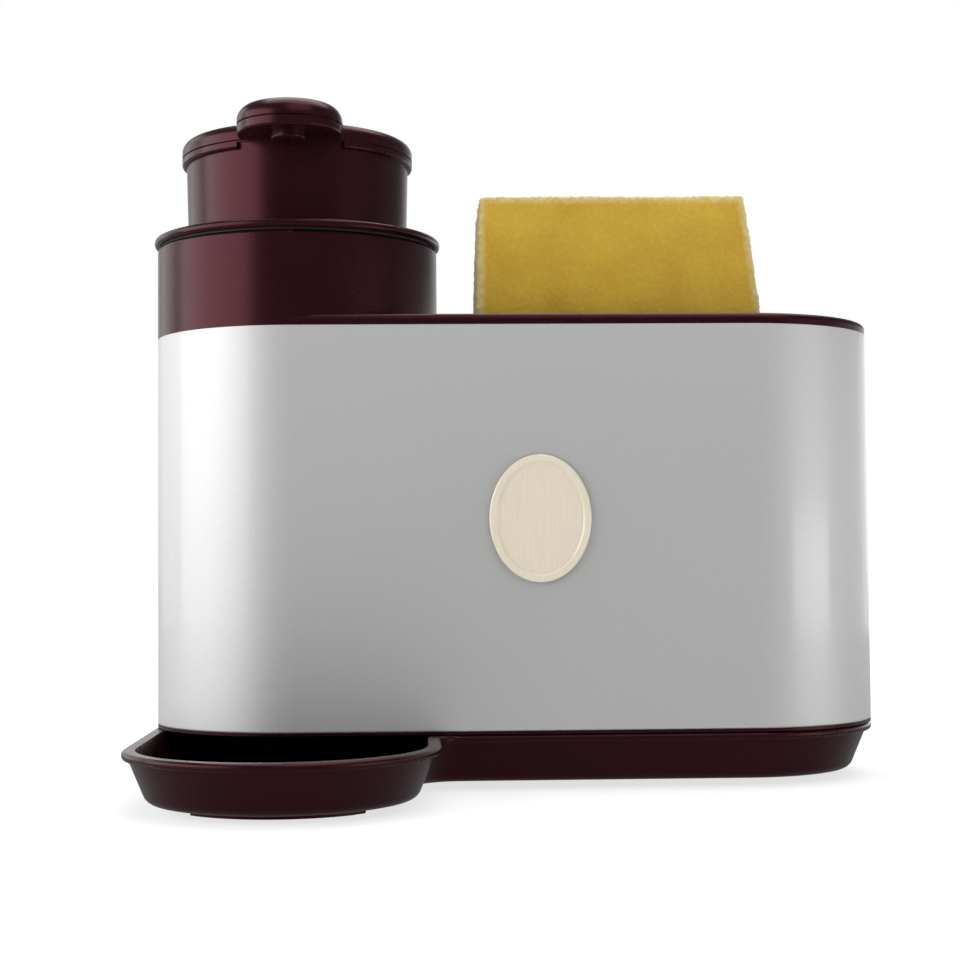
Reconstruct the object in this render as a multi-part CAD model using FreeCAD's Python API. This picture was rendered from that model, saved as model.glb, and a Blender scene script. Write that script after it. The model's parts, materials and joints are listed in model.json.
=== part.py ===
import FreeCAD, Part
import math
import os

# Soap pump caddy: a soap tank with a press-down pump and a sponge well in one long body with round ends,
# standing on a tray with a round tongue under the spout. Millimetres, +Z up, the viewer is at -Y.
# The pieces are drawn about the middle of the body, and written out about the middle of the whole footprint.

# Plan of the body and the tray
end_radius = 44.0            # the body's two round ends
end_spacing = 136.0          # between the centres of the round ends
tongue_reach = 70.0          # from the pump's axis to the centre of the tongue's round front
tongue_corner = 6.0          # hollow corner where the tongue leaves the straight front

# Clearances
seat_gap = 0.2               # under a piece that lifts off
slip_fit = 0.15              # round a piece that is pushed in and stays
loose_fit = 0.3              # round a piece that lifts out
running_fit = 0.06           # round a piece that slides in a bore
cut_overrun = 1.0            # how far a cut runs past the face it opens
tiny = 0.001                 # how near an edge lies to a level to count as on it

# Base tray
foot_height = 2.2
foot_wall = 2.6
front_foot_half = 23.3       # half the width of the front foot, which is flat behind and bowed in front
front_foot_reach = 28.0      # from the centre of the tongue's round front to the foot's tip
front_foot_bow = 10.0        # how far the foot's front is bowed
front_foot_back = 12.0       # from the centre of the tongue's round front back to the foot's rear
rear_foot_radius = 16.0
rear_foot_back = 14.0        # rear feet stand this far behind the body's middle
pad_proud = 0.4              # how far the rubber pads stand out of the foot rings
tray_height = 14.4
tray_floor = 2.0
tray_wall = 1.8
wall_draft = 6.0             # how far the tray's wall leans in from the rim to the floor
bowl_radius = 3.6            # outer bend between the tray's wall and its floor
lip_height = 2.4
lip_overhang = 0.8           # at the top, and more at the lip's lower edge as the wall leans in
rim_width = 3.4
lip_round_share = 0.43       # of the lip's height, at its upper and lower edge
post_radius = 5.0
pin_radius = 2.6
pin_length = 1.6
post_beyond = 12.0           # from the centre of a round end out to a post
post_inset = 16.0            # from the body's straight side in to a post

# Outer sleeve and bottom plate
sleeve_height = 119.6
sleeve_wall = 1.0
sleeve_edge = 0.6            # rolled lower edge
plate_flange = 0.8
plate_thickness = 2.0
screw_radius = 1.5
screw_length = 11.0
screw_head_radius = 3.0
screw_head_height = 1.8
screw_cross = 0.7            # width of the cross recess
screw_cross_depth = 0.9
boss_wall = 2.2
tank_boss_inset = 15.0       # from the tank's bore in to a boss
well_boss_back = 10.0        # from the centre of the well's round end back to a boss
well_boss_inset = 10.0       # from the well's side in to a boss

# Deck, soap tank and sponge well
deck_thickness = 3.3
deck_round = 1.6
deck_spigot = 3.0            # depth of the ring that centres the deck in the sleeve
deck_spigot_wall = 2.0
tower_height = 25.0          # above the deck
tower_round = 0.8
tank_wall = 1.7
tank_floor = 2.2
tank_bottom = 13.2           # from the sleeve's lower edge up to the tank's underside
well_half_width = 30.0
well_corner = 12.0
well_gap = 2.0               # between the tank and the well
well_wall = 1.8
well_floor = 2.2
well_bottom = 39.0           # from the sleeve's lower edge up to the well's underside
well_round = 1.2
slot_count = 5
slot_width = 4.0
slot_length = 34.0
slot_pitch = 8.0
slot_x = 24.0                # middle of the drain slots

# Drain rack and sponge
rack_clearance = 0.6
rack_thickness = 2.0
rack_leg_height = 5.0
rack_leg_inset = 10.0        # from the well's side in to a leg
rack_slot_count = 9
rack_slot_width = 5.0
rack_slot_inset = 8.0        # from the well's side in to a slot's end
rack_slot_margin = 19.75     # from the well's ends in to the middles of the first and the last slot
sponge_height = 114.2
sponge_side_gap = 14.35      # between the sponge and the well's ends, on average
sponge_face_gap = 9.0        # between the sponge and the well's sides
sponge_shift = 5.35          # the sponge stands this far to the left of the well's middle
sponge_corner = 2.4
sponge_edge = 1.5            # rounding of its top and bottom edges

# Badge plate
badge_width = 30.0
badge_height = 37.6
badge_thickness = 1.3
badge_border = 2.2
badge_recess = 0.5
badge_round = 0.4
badge_x = 5.6
badge_rise = 62.2            # from the sleeve's lower edge up to the plate's middle
badge_pad_thickness = 0.5
badge_pad_inset = 1.2

# Lid
gasket_height = 0.8
gasket_width = 1.9
flange_overhang = 1.0
flange_height = 2.6
flange_round_share = 0.425   # of the flange's height, at its upper and lower edge
plug_depth = 6.0
cup_wall = 2.0
cup_floor = 2.4
ring_width = 1.6
ring_height = 5.6
ring_drop = 0.4              # from the flange's top down to the guide ring
neck_clearance = 0.35
cup_clearance = 0.6

# Pump head
stroke = 18.0
stroke_spare = 1.4
neck_exposed = 23.2
neck_engaged = 6.0
neck_inset = 6.0             # from the tank's bore in to the neck, which leaves room for the lid's cup
neck_taper = 0.7             # how much thinner the neck is at its foot
neck_wall = 2.0
head_overhang = 1.4
head_lip = 2.2               # the cap's rim and plate
head_lip_round = 0.9
notch_gap = 0.4              # between the spout's sides and the ends of the rim
spout_half_width = 15.8
spout_beyond = 15.6          # from the round cap out to the spout's tip
spout_lip = 2.9              # the spout's lower half
spout_lip_round = 0.9
groove_height = 0.5
groove_depth = 0.8
cover_height = 5.1
cover_round = 3.2
cover_wall = 1.6
hump_height = 3.9            # above the cover's wings
hump_round_share = 0.85      # of the hump's whole height
hub_wall = 2.2
hub_length = 13.0
channel_width = 8.0
channel_height = 5.6
channel_bore = 1.6
channel_port = 1.4           # radius of the channel's inlet and outlet
nozzle_back = 10.0           # from the spout's tip back to the nozzle
nozzle_radius = 5.0
nozzle_drop = 2.4            # below the spout
nozzle_seat = 1.0            # up into the spout
nozzle_round = 0.6

# Pump works
cylinder_bore = 7.5
cylinder_wall = 1.7
cylinder_flange_width = 3.8
cylinder_flange = 2.0
pump_gasket_height = 1.0
nut_height = 4.0
nut_wall = 4.0
bush_rim = 1.8               # how far the bush's flange stands out from under the spring
bush_flange = 2.0
bush_depth = 6.0
stem_radius = 4.5
stem_bore = 1.6
piston_height = 8.0
piston_floor = 2.0
piston_clearance = 0.3
seal_height = 3.0
seal_depth = 1.7
seal_offset = 2.0            # from the piston's underside up to its seal
outlet_ball_radius = 2.3
outlet_ball_lift = 1.2
outlet_port = 2.0
inlet_ball_radius = 3.2
inlet_ball_lift = 1.2
inlet_seat = 2.5
chamber_wall = 1.7
chamber_clearance = 0.5
seat_web = 2.0
cage_flange = 1.0
cage_bore = 1.8
cage_spare = 0.4
dip_socket = 8.0
dip_radius = 3.5
dip_wall = 1.0
dip_foot_gap = 4.0           # under the dip tube's open end
spring_wire = 0.6            # radius of the wire
spring_clearance = 1.24      # between the hub and the wire
spring_turns = 8
spring_gap = 0.2             # at each end of the spring

# Places worked out from the sizes above
half_spacing = end_spacing / 2
pump_x = -half_spacing
well_x = half_spacing
post_x = half_spacing + post_beyond
post_y = end_radius - post_inset
tray_bottom = foot_height
rim_top = tray_bottom + tray_height
tray_inside = tray_bottom + tray_floor
plate_bottom = rim_top + seat_gap
sleeve_bottom = plate_bottom + plate_flange
plate_top = plate_bottom + plate_thickness
sleeve_top = sleeve_bottom + sleeve_height
deck_top = sleeve_top + deck_thickness
tower_top = deck_top + tower_height
tank_under = sleeve_bottom + tank_bottom
tank_inside = tank_under + tank_floor
tank_outer = end_radius - sleeve_wall - loose_fit
tank_bore = tank_outer - tank_wall
tank_boss_y = tank_bore - tank_boss_inset
well_under = sleeve_bottom + well_bottom
well_inside = well_under + well_floor
well_left = pump_x + tank_outer + well_gap + well_wall
well_right = well_x + well_half_width
well_boss_x = well_x - well_boss_back
well_boss_y = well_half_width - well_boss_inset
boss_radius = screw_radius + boss_wall
rack_under = well_inside + rack_leg_height
rack_top = rack_under + rack_thickness
rack_middle = (well_left + well_right) / 2
rack_slot_length = 2 * (well_half_width - rack_slot_inset)
rack_slot_pitch = (well_right - well_left - 2 * rack_slot_margin) / (rack_slot_count - 1)
rack_leg_radius = (rack_slot_pitch - rack_slot_width) / 2
rack_leg_x = rack_slot_pitch * (rack_slot_count - 2) / 2
rack_leg_y = well_half_width - rack_leg_inset
sponge_bottom = rack_top + loose_fit
sponge_width = well_right - well_left - 2 * sponge_side_gap
sponge_depth = 2 * (well_half_width - sponge_face_gap)
sponge_x = rack_middle - sponge_shift
badge_z = sleeve_bottom + badge_rise
flange_radius = end_radius + flange_overhang
flange_bottom = tower_top + gasket_height
flange_top = flange_bottom + flange_height
neck_top_radius = tank_bore - neck_inset
neck_foot_radius = neck_top_radius - neck_taper
ring_bore = neck_top_radius + neck_clearance
ring_outer = ring_bore + ring_width
ring_top = flange_top - ring_drop
ring_bottom = ring_top - ring_height
cup_bore = neck_top_radius + cup_clearance
plug_radius = tank_bore - loose_fit
neck_bottom = flange_top - neck_engaged
cup_inside = neck_bottom - stroke - stroke_spare
cup_under = cup_inside - cup_floor
lip_bottom = flange_top + neck_exposed
plate_level = lip_bottom + head_lip
cover_bottom = plate_level + groove_height
cover_top = cover_bottom + cover_height
spout_level = cover_bottom + spout_lip
hump_bottom = spout_level + groove_height
hump_top = cover_top + hump_height
hump_round = hump_round_share * (hump_top - hump_bottom)
head_radius = neck_top_radius + head_overhang
spout_reach = head_radius + spout_beyond
spout_centre = spout_reach - spout_half_width
nozzle_reach = spout_reach - nozzle_back
hub_bore = stem_radius + running_fit
hub_radius = hub_bore + hub_wall
hub_bottom = lip_bottom - hub_length
spring_radius = hub_radius + spring_clearance + spring_wire
bush_flange_radius = spring_radius + spring_wire + bush_rim
cylinder_outer = cylinder_bore + cylinder_wall
cylinder_flange_radius = cylinder_outer + cylinder_flange_width
cylinder_flange_bottom = cup_inside + pump_gasket_height
cylinder_top = cylinder_flange_bottom + cylinder_flange
bush_top = cylinder_top + bush_flange
bush_bottom = cylinder_top - bush_depth
piston_top = bush_bottom - piston_clearance
piston_bottom = piston_top - piston_height
stem_bottom = piston_bottom + piston_floor
stem_top = lip_bottom - head_lip
bore_bottom = piston_bottom - stroke - stroke_spare - cage_flange
inlet_rest = math.sqrt(inlet_ball_radius ** 2 - inlet_seat ** 2)
chamber_height = inlet_rest + inlet_ball_radius + inlet_ball_lift + 2 * cage_spare + cage_flange
chamber_bore = inlet_ball_radius + chamber_clearance
chamber_outer = chamber_bore + chamber_wall
chamber_bottom = bore_bottom - chamber_height
socket_top = chamber_bottom - seat_web
socket_bottom = socket_top - dip_socket
outlet_rest = math.sqrt(outlet_ball_radius ** 2 - stem_bore ** 2)
outlet_stop = math.sqrt(outlet_ball_radius ** 2 - outlet_port ** 2)
outlet_room = outlet_rest + outlet_ball_lift + outlet_stop + cage_spare
outlet_seat_level = stem_top - outlet_room

# Middle of the whole footprint, which is the origin of the written pieces
left_reach = half_spacing + flange_radius
right_reach = half_spacing + end_radius
front_reach = tongue_reach + end_radius
origin_x = (right_reach - left_reach) / 2
origin_y = (flange_radius - front_reach) / 2
rear_feet = [(pump_x, rear_foot_back), (well_x, rear_foot_back)]
post_places = [(-post_x, post_y), (0, -post_y), (post_x, -post_y), (post_x, post_y)]
tank_bosses = [(pump_x, depth * tank_boss_y) for depth in (-1, 1)]
well_bosses = [(well_boss_x, depth * well_boss_y) for depth in (-1, 1)]


# Shared shapes

diagonal_share = math.sqrt(0.5)      # of a radius, along X and Y at the middle of a quarter arc

def vec(x, y, z=0.0):
    return FreeCAD.Vector(x, y, z)


def rod(radius, low, high, x=pump_x, y=0.0):
    return Part.makeCylinder(radius, high - low, vec(x, y, low))


def ring(outer, bore, low, high, x=pump_x, y=0.0):
    return rod(outer, low, high, x, y).cut(rod(bore, low - cut_overrun, high + cut_overrun, x, y))


def block(low, high):
    return Part.makeBox(high.x - low.x, high.y - low.y, high.z - low.z, low)


def outline(start, steps, z=0.0):
    # each step is a corner to draw a line to, or a middle and an end to draw an arc through
    edges = []
    here = vec(start[0], start[1], z)
    for step in steps:
        points = [vec(x, y, z) for x, y in step]
        if len(points) == 2:
            edges.append(Part.Arc(here, points[0], points[1]).toShape())
        elif here.distanceToPoint(points[0]) > tiny:
            edges.append(Part.LineSegment(here, points[0]).toShape())
        here = points[-1]
    return Part.Wire(edges)


def prism(wire, low, high):
    face = Part.Face(wire)
    face.translate(vec(0, 0, low))
    return face.extrude(vec(0, 0, high - low))


def flat_edges(shape, level):
    found = []
    for edge in shape.Edges:
        box = edge.BoundBox
        if abs(box.ZMin - level) < tiny and abs(box.ZMax - level) < tiny:
            found.append(edge)
    return found


def rounded(shape, radius, *levels):
    edges = []
    for level in levels:
        edges += flat_edges(shape, level)
    return shape.makeFillet(radius, edges)


def joined(first, *others):
    return first.fuse(list(others)).removeSplitter()


def stadium_wire(radius, left, right):
    return outline(
        (right, -radius),
        [[(right + radius, 0), (right, radius)], [(left, radius)],
         [(left - radius, 0), (left, -radius)], [(right, -radius)]])


def body_prism(inset, low, high):
    return prism(stadium_wire(end_radius - inset, pump_x, well_x), low, high)


def tray_wire(inset):
    # the body's outline and the tongue in one line, all of it moved inwards by the inset
    radius = end_radius - inset
    diagonal = radius * diagonal_share
    corner_x = pump_x + end_radius + tongue_corner
    corner_y = -end_radius - tongue_corner
    corner = tongue_corner + inset
    corner_diagonal = corner * diagonal_share
    return outline(
        (well_x, radius),
        [[(well_x + radius, 0), (well_x, -radius)], [(corner_x, -radius)],
         [(corner_x - corner_diagonal, corner_y + corner_diagonal), (pump_x + radius, corner_y)],
         [(pump_x + radius, -tongue_reach)],
         [(pump_x, -tongue_reach - radius), (pump_x - radius, -tongue_reach)],
         [(pump_x - radius, 0)], [(pump_x - diagonal, diagonal), (pump_x, radius)], [(well_x, radius)]])


def well_wire(inset):
    # round at the right, with two smaller corners beside the tank
    half = well_half_width - inset
    corner = well_corner - inset
    left = well_left + inset
    bend = corner * (1 - diagonal_share)
    return outline(
        (well_x, -half),
        [[(well_x + half, 0), (well_x, half)], [(left + corner, half)],
         [(left + bend, half - bend), (left, half - corner)], [(left, corner - half)],
         [(left + bend, bend - half), (left + corner, -half)], [(well_x, -half)]])


def spout_wire(half, back, front):
    # a bar with round ends that runs along Y on the pump's axis
    return outline(
        (pump_x + half, front),
        [[(pump_x + half, back)], [(pump_x, back + half), (pump_x - half, back)],
         [(pump_x - half, front)], [(pump_x, front - half), (pump_x + half, front)]])


def slot_cutters(count, pitch, width, length, middle, low, high):
    # straight slots with round ends that run along Y, side by side along X
    cutters = []
    half = length / 2 - width / 2
    for number in range(count):
        x = middle + (number - (count - 1) / 2) * pitch
        bar = block(vec(x - width / 2, -half, low), vec(x + width / 2, half, high))
        ends = [rod(width / 2, low, high, x, end) for end in (-half, half)]
        cutters.append(bar.fuse(ends))
    return cutters


def drain_cutters(low, high):
    return slot_cutters(slot_count, slot_pitch, slot_width, slot_length, slot_x, low, high)


def save(name, shape):
    shape = shape.copy()
    shape.translate(vec(-origin_x, -origin_y))
    print(name, "solids", len(shape.Solids), "valid", shape.isValid(), "volume", round(shape.Volume, 1))
    shape.exportStep("parts/" + name + ".step")


# Base tray and its pads

def foot_wire(inset):
    # the front foot: straight sides and rear, and a bowed front
    half = front_foot_half - inset
    side = -tongue_reach - front_foot_reach + front_foot_bow
    tip = inset - tongue_reach - front_foot_reach
    rear = front_foot_back - inset - tongue_reach
    return outline(
        (pump_x + half, side),
        [[(pump_x, tip), (pump_x - half, side)], [(pump_x - half, rear)], [(pump_x + half, rear)],
         [(pump_x + half, side)]])


def drafted(low_inset, high_inset, low, high):
    sections = []
    for inset, z in ((low_inset, low), (high_inset, high)):
        wire = tray_wire(inset)
        wire.translate(vec(0, 0, z))
        sections.append(wire)
    return Part.makeLoft(sections, True, True)


def make_base_tray():
    lip = prism(tray_wire(0), rim_top - lip_height, rim_top)
    lip = rounded(lip, lip_round_share * lip_height, rim_top - lip_height, rim_top)
    shell = drafted(lip_overhang + wall_draft, lip_overhang, tray_bottom, rim_top)
    shell = rounded(shell, bowl_radius, tray_bottom)
    floor_inset = lip_overhang + tray_wall + wall_draft * (1 - tray_floor / tray_height)
    inside = drafted(floor_inset, rim_width, tray_inside, rim_top + cut_overrun)
    inside = rounded(inside, bowl_radius - tray_wall, tray_inside)
    tray = joined(lip, shell).cut(inside)
    top = tray_bottom + tray_floor / 2
    feet = [ring(rear_foot_radius, rear_foot_radius - foot_wall, pad_proud, top, x, y) for x, y in rear_feet]
    foot_inside = prism(foot_wire(foot_wall), pad_proud - cut_overrun, top + cut_overrun)
    feet.append(prism(foot_wire(0), pad_proud, top).cut(foot_inside))
    posts = [rod(post_radius, tray_inside - tray_floor / 2, rim_top, x, y) for x, y in post_places]
    pins = [rod(pin_radius, rim_top - tray_floor, plate_bottom + pin_length, x, y) for x, y in post_places]
    return joined(tray, *feet, *posts, *pins)


def make_foot_pads():
    inset = foot_wall + slip_fit
    pads = [rod(rear_foot_radius - inset, 0, tray_bottom, x, y) for x, y in rear_feet]
    return Part.makeCompound(pads + [prism(foot_wire(inset), 0, tray_bottom)])


# Sleeve, bottom plate and screws

def make_outer_sleeve():
    sleeve = rounded(body_prism(0, sleeve_bottom, sleeve_top), sleeve_edge, sleeve_bottom)
    return sleeve.cut(body_prism(sleeve_wall, sleeve_bottom - cut_overrun, sleeve_top + cut_overrun))


def make_bottom_plate():
    flange = body_prism(0, plate_bottom, sleeve_bottom)
    spigot = body_prism(sleeve_wall + slip_fit, plate_bottom, plate_top)
    low = plate_bottom - cut_overrun
    high = plate_top + cut_overrun
    holes = [rod(pin_radius + loose_fit, low, high, x, y) for x, y in post_places]
    holes += [rod(screw_radius + slip_fit, low, high, x, y) for x, y in tank_bosses + well_bosses]
    return joined(flange, spigot).cut(holes + drain_cutters(low, high))


def make_plate_screws():
    screws = []
    head_bottom = plate_bottom - screw_head_height
    for x, y in tank_bosses + well_bosses:
        head = rounded(rod(screw_head_radius, head_bottom, plate_bottom, x, y), screw_cross, head_bottom)
        shank = rod(screw_radius, plate_bottom, head_bottom + screw_length, x, y)
        arm = screw_head_radius - screw_cross
        half = screw_cross / 2
        low = head_bottom - cut_overrun
        high = head_bottom + screw_cross_depth
        cross = [block(vec(x - arm, y - half, low), vec(x + arm, y + half, high)),
                 block(vec(x - half, y - arm, low), vec(x + half, y + arm, high))]
        screws.append(joined(head, shank).cut(cross))
    return Part.makeCompound(screws)


# Deck with the tower in one moulding, and the tank and the well that are welded on below it

def make_deck():
    deck = rounded(body_prism(0, sleeve_top, deck_top), deck_round, deck_top)
    tower = rounded(rod(end_radius, sleeve_top, tower_top), tower_round, tower_top)
    low = sleeve_top - deck_spigot
    spigot_inset = sleeve_wall + slip_fit
    spigot = body_prism(spigot_inset, low, sleeve_top)
    spigot = spigot.cut([
        body_prism(spigot_inset + deck_spigot_wall, low - cut_overrun, sleeve_top + cut_overrun),
        block(vec(pump_x - end_radius, -end_radius, low - cut_overrun),
              vec(pump_x + tank_outer + slip_fit, end_radius, sleeve_top + cut_overrun))])
    tank_hollow = rod(tank_bore, sleeve_top - cut_overrun, tower_top + cut_overrun)
    well_hollow = prism(well_wire(0), sleeve_top - cut_overrun, deck_top + cut_overrun)
    body = joined(deck, tower, spigot).cut([tank_hollow, well_hollow])
    mouth = [edge for edge in flat_edges(body, deck_top)
             if edge.BoundBox.XMin > well_left - tiny and edge.BoundBox.XMax < well_right + tiny
             and edge.BoundBox.YMax < well_half_width + tiny and edge.BoundBox.YMin > -well_half_width - tiny]
    return body.makeFillet(well_round, mouth)


def with_bosses(cup, under, floor, places):
    # screw bosses from the bottom plate up into the cup's floor, with holes that the screws cut into
    bosses = [rod(boss_radius, plate_top, under + floor / 2, x, y) for x, y in places]
    tip = plate_bottom - screw_head_height + screw_length + seat_gap
    holes = [rod(screw_radius + running_fit, plate_top - cut_overrun, tip, x, y) for x, y in places]
    return joined(cup, *bosses).cut(holes)


def make_soap_tank():
    tank = rod(tank_outer, tank_under, sleeve_top).cut(rod(tank_bore, tank_inside, sleeve_top + cut_overrun))
    return with_bosses(tank, tank_under, tank_floor, tank_bosses)


def make_sponge_well():
    well = prism(well_wire(-well_wall), well_under, sleeve_top)
    well = well.cut([prism(well_wire(0), well_inside, sleeve_top + cut_overrun)]
                    + drain_cutters(well_under - cut_overrun, well_inside + cut_overrun))
    return with_bosses(well, well_under, well_floor, well_bosses)


# Drain rack and sponge

def make_drain_rack():
    plate = prism(well_wire(rack_clearance), rack_under, rack_top)
    plate = plate.cut(slot_cutters(
        rack_slot_count, rack_slot_pitch, rack_slot_width, rack_slot_length, rack_middle,
        rack_under - cut_overrun, rack_top + cut_overrun))
    legs = [rod(rack_leg_radius, well_inside + seat_gap, rack_under + rack_thickness / 2,
                rack_middle + side * rack_leg_x, depth * rack_leg_y)
            for side in (-1, 1) for depth in (-1, 1)]
    return joined(plate, *legs)


def sponge_section(left, right, half, corner, z):
    bend = corner * (1 - diagonal_share)
    return outline(
        (right - corner, -half),
        [[(right - bend, bend - half), (right, corner - half)], [(right, half - corner)],
         [(right - bend, half - bend), (right - corner, half)], [(left + corner, half)],
         [(left + bend, half - bend), (left, half - corner)], [(left, corner - half)],
         [(left + bend, bend - half), (left + corner, -half)], [(right - corner, -half)]], z)


# Shares of the sponge's height, and of its width and depth there, as pinched by the hand that put it in
sponge_level_shares = [0.0, 0.25, 0.5, 0.7, 0.88, 1.0]
sponge_left_shares = [0.0, 0.008, 0.008, 0.004, 0.008, 0.015]
sponge_right_shares = [1.0, 1.005, 0.995, 0.978, 0.946, 0.924]
sponge_depth_shares = [0.96, 1.0, 0.98, 0.96, 1.0, 0.98]


def make_sponge():
    sections = []
    start = sponge_x - sponge_width / 2
    last = len(sponge_level_shares) - 1
    for number, level_share in enumerate(sponge_level_shares):
        left = start + sponge_left_shares[number] * sponge_width
        right = start + sponge_right_shares[number] * sponge_width
        half = sponge_depth_shares[number] * sponge_depth / 2
        z = sponge_bottom + level_share * sponge_height
        if number in (0, last):
            inwards = sponge_edge if number == 0 else -sponge_edge
            soft = sponge_section(left + sponge_edge, right - sponge_edge, half - sponge_edge,
                                  sponge_corner, z)
            full = sponge_section(left, right, half, sponge_corner, z + inwards)
            sections += [soft, full] if number == 0 else [full, soft]
        else:
            sections.append(sponge_section(left, right, half, sponge_corner, z))
    return Part.makeLoft(sections, True, True)


# Badge plate: a plain oval with a raised border

def oval(half_width, half_height, back, front):
    wide = half_width >= half_height
    curve = Part.Ellipse(vec(0, 0), max(half_width, half_height), min(half_width, half_height))
    face = Part.Face(Part.Wire(curve.toShape()))
    if not wide:
        face.rotate(vec(0, 0), vec(0, 0, 1), 90)
    face.rotate(vec(0, 0), vec(1, 0, 0), 90)
    face.translate(vec(badge_x, back, badge_z))
    return face.extrude(vec(0, front - back))


def make_badge_plate():
    back = -end_radius - badge_pad_thickness
    front = back - badge_thickness
    plate = oval(badge_width / 2, badge_height / 2, back, front)
    rim = [edge for edge in plate.Edges if abs(edge.BoundBox.YMax - front) < tiny]
    plate = plate.makeFillet(badge_round, rim)
    return plate.cut(oval(badge_width / 2 - badge_border, badge_height / 2 - badge_border,
                          front + badge_recess, front - cut_overrun))


def make_badge_pad():
    return oval(badge_width / 2 - badge_pad_inset, badge_height / 2 - badge_pad_inset,
                -end_radius, -end_radius - badge_pad_thickness)


# Lid, its seal and the ring that guides the pump's neck

def make_lid():
    flange = rounded(rod(flange_radius, flange_bottom, flange_top), flange_round_share * flange_height,
                     flange_bottom, flange_top)
    plug = rod(plug_radius, flange_bottom - plug_depth, flange_top)
    cup = rod(cup_bore + cup_wall, cup_under, flange_top)
    hollow = rod(cup_bore, cup_inside, flange_top + cut_overrun)
    ring_seat = rod(ring_outer + slip_fit, ring_bottom, flange_top + cut_overrun)
    hole = rod(cylinder_outer + slip_fit, cup_under - cut_overrun, cup_inside + cut_overrun)
    return joined(flange, plug, cup).cut([hollow, ring_seat, hole])


def make_lid_gasket():
    outer = (tank_bore + end_radius + gasket_width) / 2
    return ring(outer, outer - gasket_width, tower_top + seat_gap, flange_bottom)


def make_guide_ring():
    return ring(ring_outer, ring_bore, ring_bottom, ring_top)


# Pump head

def make_head_body():
    height = lip_bottom - neck_bottom
    neck = Part.makeCone(neck_foot_radius, neck_top_radius, height, vec(pump_x, 0, neck_bottom))
    neck = neck.fuse(rod(neck_top_radius, lip_bottom, plate_level))
    hollow = Part.makeCone(neck_foot_radius - neck_wall, neck_top_radius - neck_wall, height,
                           vec(pump_x, 0, neck_bottom))
    rim = rounded(rod(head_radius, lip_bottom, plate_level), head_lip_round, lip_bottom)
    # the rim is left out in front, where the spout stands out over the neck
    side = spout_half_width + notch_gap
    notch = block(vec(pump_x - side, -head_radius - cut_overrun, lip_bottom - cut_overrun),
                  vec(pump_x + side, 0, plate_level + cut_overrun))
    hub = rod(hub_radius, hub_bottom, cover_bottom)
    holes = [rod(hub_bore, hub_bottom - cut_overrun, stem_top + running_fit),
             rod(outlet_port, stem_top, cover_bottom + cut_overrun)]
    return joined(joined(rim.cut(notch), neck).cut(hollow), hub).cut(holes)


def make_head_cover():
    inner = groove_depth + cover_wall
    wings = rounded(rod(head_radius, cover_bottom, cover_top), cover_round, cover_top)
    wings = wings.fuse(rod(head_radius - groove_depth, plate_level, cover_bottom))
    hump = prism(spout_wire(spout_half_width, 0, -spout_centre), hump_bottom, hump_top)
    hump = rounded(hump, hump_round, hump_top)
    spigot = prism(spout_wire(spout_half_width - groove_depth, 0, -spout_centre), spout_level, hump_bottom)
    hollow = rod(head_radius - inner, plate_level - cut_overrun, cover_top - cover_wall)
    hump_hollow = prism(spout_wire(spout_half_width - inner, 0, -spout_centre),
                        spout_level, hump_top - cover_wall)
    side = channel_width / 2 + loose_fit
    passage = block(vec(pump_x - side, -head_radius - cut_overrun, plate_level - cut_overrun),
                    vec(pump_x + side, 0, spout_level))
    return joined(wings, hump, spigot).cut([hollow, hump_hollow, passage])


def make_spout_channel():
    # the spout's lower half, which shows in front of the cap, and the channel that feeds it from the stem
    spout = prism(spout_wire(spout_half_width, 0, -spout_centre), cover_bottom, spout_level)
    spout = rounded(spout, spout_lip_round, cover_bottom)
    spout = spout.cut(rod(head_radius + slip_fit, cover_bottom - cut_overrun, spout_level + cut_overrun))
    bar = prism(spout_wire(channel_width / 2, 0, -nozzle_reach), cover_bottom, cover_bottom + channel_height)
    middle = cover_bottom + channel_height / 2
    length = nozzle_reach + 2 * channel_bore
    bore = Part.makeCylinder(channel_bore, length, vec(pump_x, channel_bore, middle), vec(0, -1))
    ports = [rod(channel_port, cover_bottom - cut_overrun, middle, pump_x, y) for y in (0, -nozzle_reach)]
    seat = rod(nozzle_radius + slip_fit, cover_bottom - cut_overrun, cover_bottom + nozzle_seat,
               pump_x, -nozzle_reach)
    return joined(spout, bar).cut([bore, seat] + ports)


def make_nozzle():
    low = cover_bottom - nozzle_drop
    high = cover_bottom + nozzle_seat
    tube = rounded(rod(nozzle_radius, low, high, pump_x, -nozzle_reach), nozzle_round, low)
    return tube.cut(rod(channel_bore, low - cut_overrun, high + cut_overrun, pump_x, -nozzle_reach))


# Pump works

def make_pump_cylinder():
    barrel = rod(cylinder_outer, bore_bottom - cylinder_wall, cylinder_top)
    flange = rod(cylinder_flange_radius, cylinder_flange_bottom, cylinder_top)
    foot = rod(chamber_outer, socket_bottom, bore_bottom)
    bores = [rod(cylinder_bore, bore_bottom, cylinder_top + cut_overrun),
             rod(chamber_bore, chamber_bottom, bore_bottom + cut_overrun),
             rod(inlet_seat, socket_top - cut_overrun, chamber_bottom + cut_overrun),
             rod(dip_radius + running_fit, socket_bottom - cut_overrun, socket_top)]
    return joined(barrel, flange, foot).cut(bores)


def make_pump_gasket():
    return ring(cylinder_flange_radius, cylinder_outer + slip_fit, cup_inside, cylinder_flange_bottom)


def make_pump_nut():
    reach = (cylinder_outer + nut_wall) / math.cos(math.pi / 6)
    corners = [(pump_x + reach * math.cos(turn * math.pi / 3), reach * math.sin(turn * math.pi / 3))
               for turn in range(7)]
    nut = prism(outline(corners[0], [[corner] for corner in corners[1:]]), cup_under - nut_height, cup_under)
    return nut.cut(rod(cylinder_outer + slip_fit, cup_under - nut_height - cut_overrun,
                       cup_under + cut_overrun))


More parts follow.
